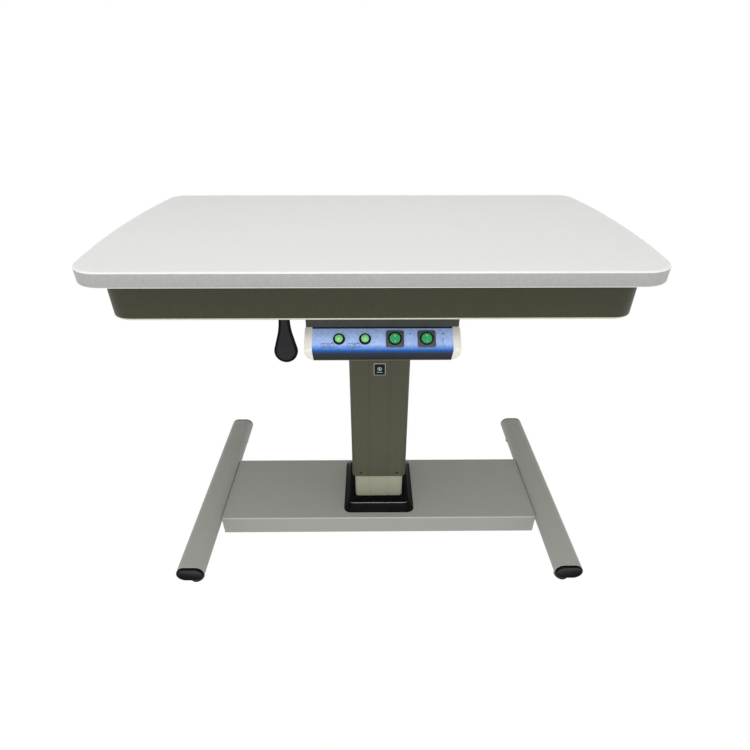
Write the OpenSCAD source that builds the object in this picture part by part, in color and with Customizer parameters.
// Motorised instrument table: a lift column on an H-shaped base carries a top
// that slides sideways. All lengths are in millimetres. The origin is on the
// floor under the middle of the tabletop; +X is to the user's right, +Y points
// away from the user and +Z is up. The user stands on the -Y side.

/* [Tabletop] */
// Widest width of the board
top_w = 930; // [860:2:1000]
// Depth of the board, front to back
top_d = 492; // [480:2:520]
// Thickness of the board
top_t = 25; // [22:1:30]
// Height of the top surface above the floor, as drawn
top_z = 720; // [718:1:740]
// Radius of the bowed left and right edges
side_r = 1570; // [1200:1:2400]
// How far behind the middle the bowed edges are widest
side_mid = 12; // [0:1:40]
// Radius of the front corners
front_corner_r = 54; // [30:1:60]
// Radius of the back corners
back_corner_r = 30; // [24:1:60]

/* [Skirt] */
// Outer width of the sheet-metal skirt
skirt_w = 842; // [810:1:850]
// Outer depth of the skirt
skirt_d = 432; // [420:1:440]
// Height of the skirt below the board
skirt_h = 67; // [64:1:72]
// Radius of the skirt's upright corners
skirt_r = 38; // [24:1:44]
// Width of the lip turned in along the bottom
skirt_lip = 8; // [5:1:8]

/* [Base] */
// Distance of the column to the right of the middle of the top, as drawn
column_x = 14; // [0:1:30]
// Distance between the middles of the two foot tubes
tube_gap = 816; // [780:2:860]
// Overall length of a foot with both caps
foot_len = 522; // [500:2:560]
// Width of the flat-oval foot tube
tube_w = 60; // [58:1:62]
// Height of the flat-oval foot tube
tube_h = 38; // [36:1:40]
// Height of a rubber foot, which is the height of the tubes above the floor
foot_h = 28; // [24:1:34]
// Depth of the folded tray between the tubes
tray_d = 204; // [196:1:230]
// Height of the tray's top surface
tray_z = 54; // [52:1:58]
// Height of the tray's folded sides
tray_side = 49; // [40:1:49]

/* [Column] */
// Width of the inner, fixed tube
inner_w = 114; // [112:1:116]
// Depth of the inner tube
inner_d = 105; // [103:1:107]
// Width of the outer, moving tube
outer_w = 126.6; // [124:0.2:128]
// Depth of the outer tube
outer_d = 115; // [114:0.2:118]
// Height of the outer tube's lower end, as drawn
outer_low = 141; // [136:1:150]
// Height of the inner tube's upper end
inner_high = 548; // [520:1:560]
// Diameter of the lead screw
screw_dia = 16; // [14:1:18]

/* [Control box] */
// Width of the blue control panel
panel_w = 236; // [228:1:240]
// Width of one end cover
cover_w = 13; // [12:1:16]
// Distance of the middle of the box to the right of the column
box_shift = 2; // [-3:0.5:3]
// Thickness of the panel sheet
panel_t = 2; // [1.5:0.5:2.5]
// How far a button or switch sits down the sloping face
item_down = 22; // [20:0.5:24]

/* [Lock lever] */
// Distance of the lever to the left of the column
lever_left = 160; // [156:0.5:162]
// Width of the paddle
paddle_w = 39.5; // [34:0.5:42]

/* [Hidden] */
$fn = 48;
eps = 0.01;
column_y = -4.5;
sheet = 2;
wall = 3.5;
fit_gap = 0.3;
run_gap = 0.05;
board_low = top_z - top_t;
skirt_low = board_low - skirt_h;
skirt_flange = 18;
tray_w = tube_gap - tube_w - 1;
tray_y = -10.5;
tray_r = 3;
tray_low = tray_z - tray_side;
tube_z = foot_h + tube_h / 2;
cap_t = 5;
plug_l = 13;
tube_l = foot_len - 2 * cap_t;
tube_wall = 2;
foot_r = 15;
foot_in = 30;
foot_screw_r = 4;
// the foot plate that the inner tube is welded to, and its bolts
foot_plate = [148, 140, 6];
bolt_x = 66;
bolt_y = 58;
bolt_r = 4;
bolt_head_r = 6.5;
bolt_head_h = 6;
bolt_below = 14;
// the moulded collar around the foot of the column
collar_low = [170, 183];
collar_top = [147, 145];
collar_h = 18;
collar_t = 3;
groove_x = 22;
groove_w = 2;
groove_deep = 1;
column_r = 9;
// drive inside the column
mount_low = 150;
mount_t = 6;
motor_r = 34;
motor_h = 68;
gearbox = [84, 80, 20];
journal_r = 6;
bearing_r = 16;
bearing_h = 12;
coupling_r = 12;
coupling_h = 20;
thread_low = 196;
thread_high = 520;
nut_low = 280;
nut_h = 26;
tube_in_r = 11;
tube_out_r = 15;
// head of the column and the slide
head_low = 655;
head = [290, 190, 6];
head_top = head_low + head[2];
rail_off = 75;
rail_w = 40;
rail_h = 20;
rail_t = 2.5;
rail_l = 600;
rail_slot = 16;
block_x = 120;
block_l = 40;
travel = 100;
stop_x = block_x + block_l / 2 + travel + 1;
screw_r = 2;
screw_l = 12;
// side view of the control box, as [Y, Z] points
box_back = -70;
box_a = [-177, 597];
box_b = [-208, 572];
box_c = [-208, 567];
box_d = [-194, 542];
box_x = column_x + box_shift;
box_wall = 1.5;
face_tilt = atan2(box_a[1] - box_b[1], box_a[0] - box_b[0]);
item_y = box_a[0] - item_down * cos(face_tilt);
item_z = box_a[1] - item_down * sin(face_tilt);
up_x = -29.5;
down_x = -73;
power_x = 20.5;
lamp_x = 73.7;
socket_x = 90;
socket_z = 590;
bezel_r = 10.1;
barrel_r = 8.5;
cap_r = 7.2;
cap_gap = 0.2;
frame_w = 30.4;
ring_r = 11.45;
switch_r = 10;
rocker_r = 8.8;
rocker_gap = 0.3;
rocker_rest = 8;
// lock lever
pivot = [-150, 646];
pin_r = 4;
hub_r = 10;
hub_w = 14;
lever_x = column_x - lever_left;
ear_t = 5;

// ---- shapes used by several pieces ----

// flat rectangle with round corners, centred
module round_rect(w, d, r) {
    square([w - 2 * r, d], center = true);
    square([w, d - 2 * r], center = true);
    for (x = [-1, 1], y = [-1, 1])
        translate([x * (w / 2 - r), y * (d / 2 - r)]) circle(r);
}

module round_box(w, d, h, r) {
    linear_extrude(h) round_rect(w, d, r);
}

// flat oval, centred
module flat_oval(w, h) {
    square([w - h, h], center = true);
    for (x = [-1, 1]) translate([x * (w - h) / 2, 0]) circle(h / 2);
}

// a flat shape drawn in X and Z, made l long in Y and centred on Y = 0
module along_y(l) {
    rotate([90, 0, 0]) linear_extrude(l, center = true) children();
}

// a flat shape drawn in Y and Z, made l long in X and centred on X = 0
module along_x(l) {
    rotate([90, 0, 90]) linear_extrude(l, center = true) children();
}

module at_column() {
    translate([column_x, column_y, 0]) children();
}

// local +Z stands square off the sloping face of the control panel
module on_face(x) {
    translate([box_x + x, item_y, item_z]) rotate([face_tilt, 0, 0]) children();
}

function arc(c, r, a, b, n) =
    [for (i = [0 : n]) c + r * [cos(a + (b - a) * i / n), sin(a + (b - a) * i / n)]];

// the point t inside corner b of the path a, b, c, whose inside is on its left
function mitre(a, b, c, t) =
    let (u = (b - a) / norm(b - a), v = (c - b) / norm(c - b))
    let (m = [-u[1], u[0]], n = [-v[1], v[0]])
    b + t * (m + n) / (1 + m * n);

function inset(p, t) =
    let (n = len(p))
    [for (i = [0 : n - 1]) mitre(p[(i + n - 1) % n], p[i], p[(i + 1) % n], t)];

// ---- base ----

module tray_outline(grow) {
    round_rect(tray_w + 2 * grow, tray_d + 2 * grow, tray_r + grow);
}

module base_tray() {
    color([0.56, 0.57, 0.54]) translate([column_x, tray_y, 0]) difference() {
        union() {
            translate([0, 0, tray_low]) linear_extrude(tray_side - tray_r) tray_outline(0);
            intersection() {
                along_y(tray_d) tray_section(tray_w);
                along_x(tray_w) tray_section(tray_d);
            }
        }
        translate([0, 0, tray_low - 1])
            linear_extrude(tray_side + 1 - sheet) tray_outline(-sheet);
        for (x = [-1, 1], y = [-1, 1])
            translate([x * bolt_x, y * bolt_y + column_y - tray_y, tray_z - 2 * sheet])
                cylinder(h = 3 * sheet, r = bolt_r);
    }
}

// the tray's top band with its two bend radii
module tray_section(w) {
    translate([-w / 2, tray_z - 2 * tray_r]) square([w, tray_r]);
    translate([-w / 2 + tray_r, tray_z - 2 * tray_r]) square([w - 2 * tray_r, 2 * tray_r]);
    for (s = [-1, 1]) translate([s * (w / 2 - tray_r), tray_z - tray_r]) circle(tray_r);
}

module foot_tube(side) {
    color([0.57, 0.58, 0.55]) translate([column_x + side * tube_gap / 2, 0, tube_z])
        difference() {
            along_y(tube_l) flat_oval(tube_w, tube_h);
            along_y(tube_l + 1) flat_oval(tube_w - 2 * tube_wall, tube_h - 2 * tube_wall);
            for (y = [-1, 1])
                translate([0, y * (foot_len / 2 - foot_in), -tube_h / 2 - 1])
                    cylinder(h = 2 * tube_wall + 1, r = foot_screw_r);
        }
}

module left_foot_tube() { foot_tube(-1); }
module right_foot_tube() { foot_tube(1); }

// a moulded plug with a flange the shape of the tube; its outer face is domed in two steps
module tube_cap(side, end) {
    color([0.05, 0.05, 0.05])
        translate([column_x + side * tube_gap / 2, end * tube_l / 2, tube_z])
            mirror([0, end < 0 ? 1 : 0, 0]) {
                translate([0, cap_t / 4, 0]) along_y(cap_t / 2) flat_oval(tube_w, tube_h);
                translate([0, cap_t * 3 / 4, 0]) along_y(cap_t / 2)
                    flat_oval(tube_w - 3, tube_h - 3);
                translate([0, -plug_l / 2, 0]) along_y(plug_l) difference() {
                    flat_oval(tube_w - 2 * tube_wall, tube_h - 2 * tube_wall);
                    flat_oval(tube_w - 5 * tube_wall, tube_h - 5 * tube_wall);
                }
            }
}

module front_left_cap() { tube_cap(-1, -1); }
module front_right_cap() { tube_cap(1, -1); }
module rear_left_cap() { tube_cap(-1, 1); }
module rear_right_cap() { tube_cap(1, 1); }

module at_foot(side, end) {
    translate([column_x + side * tube_gap / 2, end * (foot_len / 2 - foot_in), 0])
        children();
}

// a turned rubber foot whose top is hollowed to the tube's round underside
module rubber_foot(side, end) {
    color([0.06, 0.06, 0.06]) at_foot(side, end) difference() {
        union() {
            cylinder(h = 3, r1 = foot_r - 1.5, r2 = foot_r);
            translate([0, 0, 3]) cylinder(h = foot_h - 6, r = foot_r);
            translate([0, 0, foot_h - 3]) cylinder(h = 3, r1 = foot_r, r2 = foot_r - 2);
        }
        translate([0, 0, 6]) cylinder(h = foot_h, r = foot_screw_r);
    }
}

module front_left_foot() { rubber_foot(-1, -1); }
module front_right_foot() { rubber_foot(1, -1); }
module rear_left_foot() { rubber_foot(-1, 1); }
module rear_right_foot() { rubber_foot(1, 1); }

module foot_screws() {
    color([0.7, 0.7, 0.68]) for (s = [-1, 1], e = [-1, 1]) at_foot(s, e) {
        translate([0, 0, 6]) cylinder(h = foot_h + tube_wall, r = foot_screw_r);
        translate([0, 0, foot_h + tube_wall]) cylinder(h = 5, r = 6.5, $fn = 6);
    }
}

module foot_plate() {
    color([0.3, 0.3, 0.3]) at_column() translate([0, 0, tray_z]) difference() {
        round_box(foot_plate[0], foot_plate[1], foot_plate[2], 10);
        for (x = [-1, 1], y = [-1, 1])
            translate([x * bolt_x, y * bolt_y, -1]) cylinder(h = 20, r = bolt_r);
    }
}

module column_bolts() {
    color([0.6, 0.6, 0.6]) at_column() for (x = [-1, 1], y = [-1, 1])
        translate([x * bolt_x, y * bolt_y, tray_z]) {
            translate([0, 0, foot_plate[2]])
                cylinder(h = bolt_head_h, r = bolt_head_r, $fn = 6);
            translate([0, 0, -bolt_below])
                cylinder(h = bolt_below + foot_plate[2] + eps, r = bolt_r);
            translate([0, 0, -sheet - 7]) cylinder(h = 7, r = bolt_head_r, $fn = 6);
        }
}

// one four-sided moulding with sloping sides, g smaller all round
module collar_form(g) {
    low = collar_low / 2 - [g, g];
    top = collar_top / 2 - [g, g];
    h = collar_h - g;
    translate([0, 0, tray_z]) intersection() {
        along_y(collar_low[1])
            polygon([[-low[0], 0], [low[0], 0], [top[0], h], [-top[0], h]]);
        along_x(collar_low[0])
            polygon([[-low[1], 0], [low[1], 0], [top[1], h], [-top[1], h]]);
        linear_extrude(h) round_rect(2 * low[0], 2 * low[1], 16 - g);
    }
}

module column_collar() {
    color([0.05, 0.05, 0.06]) at_column() difference() {
        collar_form(0);
        collar_form(collar_t);
        translate([0, 0, tray_z]) round_box(inner_w + 1, inner_d + 1, 2 * collar_h, column_r);
    }
}

module inner_column() {
    low = tray_z + foot_plate[2];
    color([0.6, 0.58, 0.52]) at_column() translate([0, 0, low])
        linear_extrude(inner_high - low) difference() {
            round_rect(inner_w, inner_d, column_r);
            round_rect(inner_w - 2 * wall, inner_d - 2 * wall, column_r - wall);
            for (x = [-1, 1], y = [-1, 1])
                translate([x * groove_x, y * inner_d / 2])
                    square([groove_w, 2 * groove_deep], center = true);
        }
}

// pads of w x t on both sides, and pairs of them on front and back
module glide_ring(z, h, half_w, half_d, side_t, face_t) {
    translate([0, 0, z]) {
        for (s = [-1, 1]) translate([s * (half_w - side_t / 2), 0, h / 2])
            cube([side_t, 60, h], center = true);
        for (x = [-1, 1], s = [-1, 1])
            translate([x * 40, s * (half_d - face_t / 2), h / 2])
                cube([20, face_t, h], center = true);
    }
}

// space between the two tubes on each side
side_space = (outer_w - inner_w) / 2 - wall;
face_space = (outer_d - inner_d) / 2 - wall;

module upper_glides() {
    color([0.9, 0.9, 0.86]) at_column()
        glide_ring(inner_high - 50, 45, inner_w / 2 + side_space - fit_gap,
                   inner_d / 2 + face_space - fit_gap,
                   side_space - fit_gap, face_space - fit_gap);
}

module lower_glides() {
    color([0.9, 0.9, 0.86]) at_column()
        glide_ring(outer_low + 5, 45, outer_w / 2 - wall, outer_d / 2 - wall,
                   side_space - fit_gap, face_space - fit_gap);
}

module gearmotor() {
    color([0.25, 0.26, 0.28]) at_column() translate([0, 0, mount_low - gearbox[2]]) {
        translate([0, 0, -motor_h + 6]) cylinder(h = motor_h - 6, r = motor_r);
        translate([0, 0, -motor_h]) cylinder(h = 6, r1 = motor_r - 4, r2 = motor_r);
    }
}

module gearbox() {
    color([0.55, 0.56, 0.58]) at_column() translate([0, 0, mount_low - gearbox[2]])
        difference() {
            round_box(gearbox[0], gearbox[1], gearbox[2], 8);
            translate([0, 0, 6]) cylinder(h = gearbox[2], r = journal_r + run_gap);
        }
}

module motor_mount() {
    color([0.4, 0.4, 0.42]) at_column() translate([0, 0, mount_low]) difference() {
        round_box(inner_w - 2 * wall - 0.4, inner_d - 2 * wall - 0.4, mount_t, 5);
        translate([0, 0, -1]) cylinder(h = mount_t + 2, r = journal_r + 1);
    }
}

module spindle_bearing() {
    color([0.75, 0.75, 0.77]) at_column() translate([0, 0, mount_low + mount_t])
        difference() {
            cylinder(h = bearing_h, r = bearing_r);
            translate([0, 0, -1]) cylinder(h = bearing_h + 2, r = journal_r + run_gap);
        }
}

// journal, then the threaded part as a row of ridges, then a short lead-in
module lead_screw() {
    pitch = 6;
    core = screw_dia / 2 - 1.5;
    low = mount_low - gearbox[2] + 7;
    turns = floor((thread_high - thread_low) / pitch) - 1;
    color([0.66, 0.67, 0.7]) at_column() rotate_extrude() polygon(concat(
        [[0, low], [journal_r, low], [journal_r, thread_low - 4], [core, thread_low - 4]],
        [for (i = [0 : turns], p = [[0, 0], [1.5, 1], [1.5, 3], [0, 4]])
            [core + p[0], thread_low + i * pitch + p[1]]],
        [[core, thread_high], [core - 1, thread_high + 1], [0, thread_high + 1]]));
}

module shaft_coupling() {
    low = mount_low + mount_t + bearing_h + 1;
    color([0.7, 0.7, 0.72]) at_column() translate([0, 0, low]) difference() {
        cylinder(h = coupling_h, r = coupling_r);
        translate([0, 0, -1]) cylinder(h = coupling_h + 2, r = journal_r);
        translate([journal_r + 2, -1, 4]) cube([coupling_r, 2, coupling_h - 8]);
    }
}

// ---- lift column ----

module outer_column() {
    color([0.33, 0.33, 0.26]) at_column() translate([0, 0, outer_low]) difference() {
        linear_extrude(head_low - outer_low) difference() {
            round_rect(outer_w, outer_d, column_r + wall);
            round_rect(outer_w - 2 * wall, outer_d - 2 * wall, column_r);
            for (x = [-1, 1], y = [-1, 1])
                translate([x * groove_x, y * outer_d / 2])
                    square([groove_w, groove_deep], center = true);
        }
        for (x = [-1, 1], y = [-1, 1])
            translate([x * 42.5, y * outer_d / 2, 11]) rotate([90, 0, 0])
                cylinder(h = 4 * wall, r = 1.5, center = true);
    }
}

module glide_screws() {
    color([0.2, 0.2, 0.18]) at_column() for (x = [-1, 1], y = [-1, 1])
        translate([x * 42.5, y * outer_d / 2, outer_low + 11]) {
            translate([0, -y * wall / 2, 0]) rotate([90, 0, 0])
                cylinder(h = wall, r = 1.5, center = true);
            translate([0, y * 0.6, 0]) rotate([90, 0, 0])
                cylinder(h = 1.2, r = 3, center = true);
        }
}

module head_plate() {
    color([0.3, 0.3, 0.31]) at_column() translate([0, 0, head_low])
        round_box(head[0], head[1], head[2], 8);
}

module push_tube() {
    low = nut_low + nut_h - 8;
    color([0.6, 0.6, 0.62]) at_column() translate([0, 0, low]) difference() {
        cylinder(h = head_low - low, r = tube_out_r);
        translate([0, 0, -1]) cylinder(h = head_low - low + 2, r = tube_in_r);
    }
}

module spindle_nut() {
    color([0.75, 0.62, 0.3]) at_column() translate([0, 0, nut_low]) difference() {
        union() {
            cylinder(h = nut_h - 8, r = tube_out_r + 5);
            cylinder(h = nut_h, r = tube_in_r);
        }
        translate([0, 0, -1]) cylinder(h = nut_h + 2, r = screw_dia / 2 + fit_gap);
    }
}

module badge_plate() {
    color([0.75, 0.76, 0.74])
        translate([column_x, column_y - outer_d / 2 - 0.6, 442]) difference() {
            along_y(1.2) round_rect(24, 28, 1.5);
            translate([0, -0.6, 0]) along_y(0.6) difference() {
                round_rect(21, 25, 1);
                round_rect(19.6, 23.6, 0.6);
            }
        }
}

// side view of the housing behind the panel sheet
function housing_side() =
    let (a = box_a - [0, panel_t / cos(face_tilt)])
    let (lean = atan2(box_c[1] - box_d[1], box_d[0] - box_c[0]))
    [
        [box_back, head_low],
        [box_a[0], head_low],
        a,
        mitre(box_a, box_b, box_c, panel_t),
        mitre(box_b, box_c, box_d, panel_t),
        box_d + [panel_t / sin(lean), 0],
        [box_back, box_d[1]],
    ];

module face_holes(r, xs) {
    for (x = xs) on_face(x) cylinder(h = 40, r = r, center = true);
}

module control_housing() {
    side = housing_side();
    low_w = panel_w;
    full_w = panel_w + 2 * cover_w - 4;
    upper_low = box_a[1] + 1;
    color([0.24, 0.25, 0.23]) difference() {
        union() {
            translate([box_x, 0, 0]) along_x(low_w) polygon(side);
            translate([box_x - full_w / 2, box_a[0], upper_low])
                cube([full_w, box_back - box_a[0], head_low - upper_low]);
        }
        translate([box_x, 0, 0]) along_x(low_w - 2 * box_wall) polygon(inset(side, box_wall));
        translate([box_x - full_w / 2 + box_wall, box_a[0] + box_wall, upper_low + box_wall])
            cube([full_w - 2 * box_wall, box_back - box_a[0] - 2 * box_wall,
                  head_low - upper_low - 2 * box_wall]);
        face_holes(barrel_r, [up_x, down_x]);
        face_holes(switch_r, [power_x, lamp_x]);
        for (x = [-socket_x, socket_x])
            translate([box_x + x, box_back, socket_z]) cube([47, 10, 24.8], center = true);
    }
}

module control_panel() {
    h = housing_side();
    color([0.35, 0.5, 0.8]) difference() {
        translate([box_x, 0, 0]) along_x(panel_w)
            polygon([box_a, box_b, box_c, box_d, h[5], h[4], h[3], h[2]]);
        face_holes(barrel_r, [up_x, down_x]);
        face_holes(switch_r, [power_x, lamp_x]);
    }
}

// end view of a cover in X and Z, its lower outer corner well rounded; +X is outward
module cover_end(g) {
    r = 18 - g;
    lo = box_d[1] + g;
    hi = box_a[1] - g;
    w = cover_w - g;
    translate([0, lo + r]) square([w, hi - lo - r - 4 + g]);
    translate([0, lo]) square([max(w - r, 0.5), hi - lo]);
    translate([0, lo + r]) square([w - 4 + g, hi - lo - r]);
    intersection() {
        translate([w - r, lo + r]) circle(r);
        translate([0, lo]) square([w, 2 * r]);
    }
    translate([w - 4 + g, hi - 4 + g]) circle(max(4 - g, 0.5));
}

module end_cover(side) {
    path = [[box_back, box_a[1]], box_a, box_b, box_c, box_d, [box_back, box_d[1]]];
    color([0.88, 0.88, 0.84]) translate([box_x + side * panel_w / 2, 0, 0])
        mirror([side < 0 ? 1 : 0, 0, 0]) difference() {
            intersection() {
                along_x(2 * cover_w) polygon(path);
                translate([0, -140, 0]) along_y(200) cover_end(0);
            }
            intersection() {
                translate([-1, 0, 0]) along_x(2 * cover_w) polygon(inset(path, 2));
                translate([-eps, -140, 0]) along_y(200) cover_end(2);
            }
        }
}

module left_end_cover() { end_cover(-1); }
module right_end_cover() { end_cover(1); }

// a stepped ring on the face and a barrel with a closed end behind it
module button_bezel(x) {
    color([0.06, 0.07, 0.07]) on_face(x) difference() {
        union() {
            cylinder(h = 2, r = bezel_r);
            translate([0, 0, 2]) cylinder(h = 1, r1 = bezel_r, r2 = bezel_r - 1);
            translate([0, 0, -14]) cylinder(h = 14, r = barrel_r);
        }
        translate([0, 0, -11]) cylinder(h = 20, r = cap_r + cap_gap);
    }
}

module button_cap(x) {
    color([0.3, 0.7, 0.35]) on_face(x) intersection() {
        translate([0, 0, -6]) cylinder(h = 13, r = cap_r);
        translate([0, 0, -7.4]) sphere(r = 14.4, $fn = 64);
    }
}

module up_button_bezel() { button_bezel(up_x); }
module down_button_bezel() { button_bezel(down_x); }
module up_button_cap() { button_cap(up_x); }
module down_button_cap() { button_cap(down_x); }

module switch_frame(x) {
    color([0.16, 0.17, 0.18]) on_face(x) difference() {
        union() {
            round_box(frame_w, frame_w, 2, 4);
            translate([0, 0, 2]) cylinder(h = 1.5, r = ring_r);
            translate([0, 0, -16]) cylinder(h = 16, r = switch_r);
        }
        translate([0, 0, -12]) cylinder(h = 20, r = rocker_r + rocker_gap);
    }
}

// a ball-sided rocker with a shallow V across its face; its lower half is pressed in
module rocker(x) {
    color([0.15, 0.6, 0.38]) on_face(x) translate([0, 0, 2.5])
        rotate([rocker_rest, 0, 0]) intersection() {
            sphere(r = rocker_r, $fn = 64);
            along_x(2 * rocker_r)
                polygon([[-9, -6], [9, -6], [9, 1.1], [0, 0.4], [-9, 1.1]]);
        }
}

module power_switch_frame() { switch_frame(power_x); }
module lamp_switch_frame() { switch_frame(lamp_x); }
module power_rocker() { rocker(power_x); }
module lamp_rocker() { rocker(lamp_x); }

module control_board() {
    low = box_d[1] + box_wall + 6;
    color([0.1, 0.35, 0.2]) translate([box_x + 20, -110, low]) {
        translate([-45, -30, 0]) cube([90, 60, 1.6]);
        for (x = [-40, 40], y = [-25, 25])
            translate([x, y, -6]) cylinder(h = 6, r = 2.5);
        for (x = [-22, 0, 22]) translate([x - 7, -8, 1.6]) cube([14, 16, 11]);
    }
}

module power_supply() {
    low = box_d[1] + box_wall;
    color([0.75, 0.76, 0.78]) translate([box_x - 100, -145, low]) cube([62, 58, 40]);
}

// a moulded socket with a flange outside the back wall and a shroud inside it
module back_socket(x, pins) {
    color([0.07, 0.07, 0.07]) translate([box_x + x, box_back, socket_z]) difference() {
        union() {
            translate([0, 1.5, 0]) cube([50, 3, 27.8], center = true);
            translate([0, -8, 0]) cube([47, 16, 24.8], center = true);
        }
        translate([0, -5, 0]) cube([24, 20, 16], center = true);
    }
    color([0.7, 0.65, 0.5]) for (i = [-1 : 1])
        translate([box_x + x + i * 7, box_back - 15 - eps, socket_z + (i == 0 ? 3 : -2)])
            rotate([-90, 0, 0]) cylinder(h = pins, r = 1.5);
}

module power_inlet() { back_socket(-socket_x, 12); }
module accessory_outlet() { back_socket(socket_x, 8); }

// a T-shaped nylon block whose head runs inside the rail
module slide_blocks() {
    color([0.92, 0.92, 0.88]) at_column() for (x = [-1, 1], y = [-1, 1])
        translate([x * block_x, y * rail_off, head_top]) {
            translate([0, 0, (board_low - rail_h - head_top + 4) / 2])
                cube([block_l, rail_slot - 2, board_low - rail_h - head_top + 4],
                     center = true);
            translate([0, 0, board_low - rail_h - head_top + rail_t + 7.5])
                cube([block_l, rail_w - 2 * rail_t - 2, 14], center = true);
        }
}

// a strip under the head plate and an ear that hangs forward of it
module lever_bracket() {
    ear_x = column_x - lever_left + hub_w / 2 + 3;
    color([0.35, 0.35, 0.36]) difference() {
        union() {
            translate([ear_x, pivot[0] - 12, pivot[1] - 12])
                cube([ear_t, 150, head_low - pivot[1] + 12]);
            translate([ear_x, -95, head_low - ear_t]) cube([15, 83, ear_t]);
        }
        translate([ear_x - 1, pivot[0], pivot[1]]) rotate([0, 90, 0])
            cylinder(h = ear_t + 2, r = pin_r);
    }
}

module lever_pin() {
    color([0.7, 0.7, 0.7]) translate([lever_x, pivot[0], pivot[1]]) rotate([0, 90, 0]) {
        translate([0, 0, -hub_w / 2 - 4]) cylinder(h = hub_w + 7 + ear_t, r = pin_r);
        translate([0, 0, -hub_w / 2 - 4]) cylinder(h = 3, r = pin_r + 2);
        translate([0, 0, hub_w / 2 + 3 + ear_t]) cylinder(h = 3, r = pin_r + 2);
    }
}

// ---- sliding top ----

// outline with bowed sides and round corners; every stretch is an arc
module top_outline() {
    cx = top_w / 2 - side_r;
    fy = -top_d / 2 + front_corner_r;
    by = top_d / 2 - back_corner_r;
    fa = asin((fy - side_mid) / (side_r - front_corner_r));
    ba = asin((by - side_mid) / (side_r - back_corner_r));
    fx = cx + (side_r - front_corner_r) * cos(fa);
    bx = cx + (side_r - back_corner_r) * cos(ba);
    half = concat(
        arc([fx, fy], front_corner_r, -90, fa, 12),
        arc([cx, side_mid], side_r, fa, 0, 12),
        arc([cx, side_mid], side_r, ba / 12, ba, 11),
        arc([bx, by], back_corner_r, ba, 90, 12));
    polygon(concat(half, [for (i = [len(half) - 1 : -1 : 0]) [-half[i][0], half[i][1]]]));
}

skirt_screws_x = [-300, -100, 100, 300];

module at_screws() {
    for (x = skirt_screws_x, y = [-1, 1])
        translate([x, y * (skirt_d / 2 - 11) + 1, board_low]) children();
}

module at_rail_screws() {
    for (x = [-270, 270], y = [-1, 1])
        translate([x, column_y + y * rail_off, board_low]) children();
}

module tabletop() {
    color([0.9, 0.9, 0.9]) difference() {
        translate([0, 0, board_low]) linear_extrude(top_t) top_outline();
        at_screws() translate([0, 0, -1]) cylinder(h = screw_l + 1, r = screw_r);
        at_rail_screws() translate([0, 0, -1]) cylinder(h = screw_l + 1, r = screw_r);
    }
}

module skirt() {
    color([0.26, 0.26, 0.2]) translate([0, 1, skirt_low]) difference() {
        round_box(skirt_w, skirt_d, skirt_h, skirt_r);
        translate([0, 0, sheet])
            round_box(skirt_w - 2 * sheet, skirt_d - 2 * sheet, skirt_h - 2 * sheet,
                      skirt_r - sheet);
        translate([0, 0, -1])
            round_box(skirt_w - 2 * skirt_lip, skirt_d - 2 * skirt_lip, 2 * sheet,
                      skirt_r - skirt_lip);
        translate([0, 0, skirt_h - 2 * sheet])
            round_box(skirt_w - 2 * skirt_flange, skirt_d - 2 * skirt_flange, 3 * sheet,
                      skirt_r - skirt_flange);
        translate([0, -1, -skirt_low]) at_screws()
            cylinder(h = 6 * sheet, r = screw_r, center = true);
    }
}

module slide_rail(y) {
    color([0.62, 0.63, 0.65])
        translate([0, column_y + y * rail_off, board_low - rail_h / 2]) difference() {
            cube([rail_l, rail_w, rail_h], center = true);
            cube([rail_l + 1, rail_w - 2 * rail_t, rail_h - 2 * rail_t], center = true);
            translate([0, 0, -rail_h / 2]) cube([rail_l + 1, rail_slot, rail_h], center = true);
            for (x = [-270, 270]) translate([x, 0, 0]) cylinder(h = rail_h, r = screw_r);
        }
}

module front_rail() { slide_rail(-1); }
module rear_rail() { slide_rail(1); }

module end_stops() {
    color([0.1, 0.1, 0.1]) for (x = [-1, 1], y = [-1, 1])
        translate([x * (stop_x + 5), column_y + y * rail_off, board_low - rail_h / 2])
            cube([10, rail_w - 2 * rail_t, rail_h - 2 * rail_t], center = true);
}

module pan_screw(grip) {
    translate([0, 0, -grip]) cylinder(h = screw_l + grip, r = screw_r);
    translate([0, 0, -grip - 2]) cylinder(h = 2, r = 2 * screw_r);
}

module top_screws() {
    color([0.7, 0.7, 0.66]) {
        at_screws() pan_screw(sheet);
        at_rail_screws() pan_screw(rail_t);
    }
}

// ---- lock lever ----

// a bar from p to q in the side view, w wide in X and t thick
module bar(p, q, w, t) {
    len = norm(q - p);
    translate([lever_x, p[0], p[1]]) rotate([atan2(q[1] - p[1], q[0] - p[0]), 0, 0])
        translate([-w / 2, 0, -t / 2]) cube([w, len, t]);
}

neck = [-187, 628];
paddle_low = [-205, 546];
pad_at = [-79.5, 668];
drop = norm(paddle_low - neck);
tang_end = neck + (paddle_low - neck) * 45 / drop;

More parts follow.
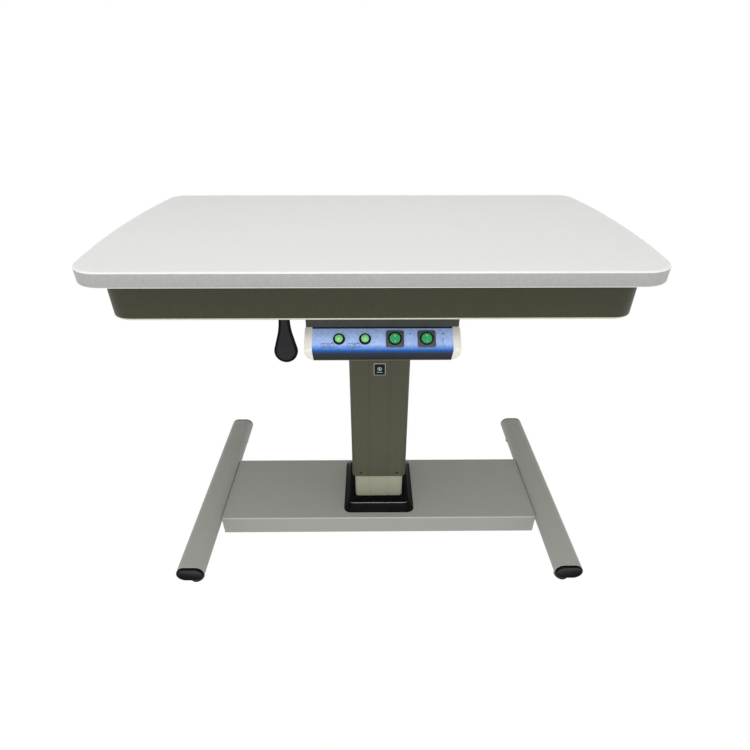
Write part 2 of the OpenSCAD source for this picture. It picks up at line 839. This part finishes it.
module lever_arm() {
    color([0.4, 0.4, 0.42]) difference() {
        union() {
            translate([lever_x, pivot[0], pivot[1]]) rotate([0, 90, 0])
                cylinder(h = hub_w, r = hub_r, center = true);
            bar(pivot, neck, 12, 6);
            bar(neck, tang_end, 12, 4);
            bar(pivot, pad_at, 12, 6);
            translate([lever_x, pad_at[0], pad_at[1]]) cube([14, 28, 6.6], center = true);
        }
        translate([lever_x, pivot[0], pivot[1]]) rotate([0, 90, 0])
            cylinder(h = hub_w + 2, r = pin_r + run_gap, center = true);
    }
}

// a moulded teardrop with a pocket that grips the tang of the arm
module lever_paddle() {
    lean = atan2(neck[1] - paddle_low[1], neck[0] - paddle_low[0]);
    r = paddle_w / 2;
    side = r * cos(18);
    belly = drop - r - r * sin(18);
    color([0.06, 0.06, 0.06]) difference() {
        translate([lever_x, neck[0], neck[1]])
            rotate([lean - 180, 0, 0]) translate([0, 0, -4]) {
                translate([-9, 7, 0]) cube([18, 25, 8]);
                translate([0, drop - r, 0]) cylinder(h = 8, r = r);
                linear_extrude(8)
                    polygon([[-9, 30], [9, 30], [side, belly], [-side, belly]]);
            }
        bar(neck, tang_end, 12, 4);
    }
}

module brake_pad() {
    color([0.25, 0.2, 0.18]) translate([lever_x, pad_at[0], pad_at[1] + 5])
        cube([18, 34, 3.4], center = true);
}

base_tray();
left_foot_tube();
right_foot_tube();
front_left_cap();
front_right_cap();
rear_left_cap();
rear_right_cap();
front_left_foot();
front_right_foot();
rear_left_foot();
rear_right_foot();
foot_screws();
foot_plate();
column_bolts();
column_collar();
inner_column();
upper_glides();
gearmotor();
gearbox();
motor_mount();
spindle_bearing();
lead_screw();
shaft_coupling();
outer_column();
lower_glides();
glide_screws();
head_plate();
push_tube();
spindle_nut();
badge_plate();
control_housing();
control_panel();
left_end_cover();
right_end_cover();
up_button_bezel();
down_button_bezel();
power_switch_frame();
lamp_switch_frame();
control_board();
power_supply();
power_inlet();
accessory_outlet();
slide_blocks();
lever_bracket();
lever_pin();
tabletop();
skirt();
front_rail();
rear_rail();
end_stops();
top_screws();
lever_arm();
lever_paddle();
brake_pad();
up_button_cap();
down_button_cap();
power_rocker();
lamp_rocker();
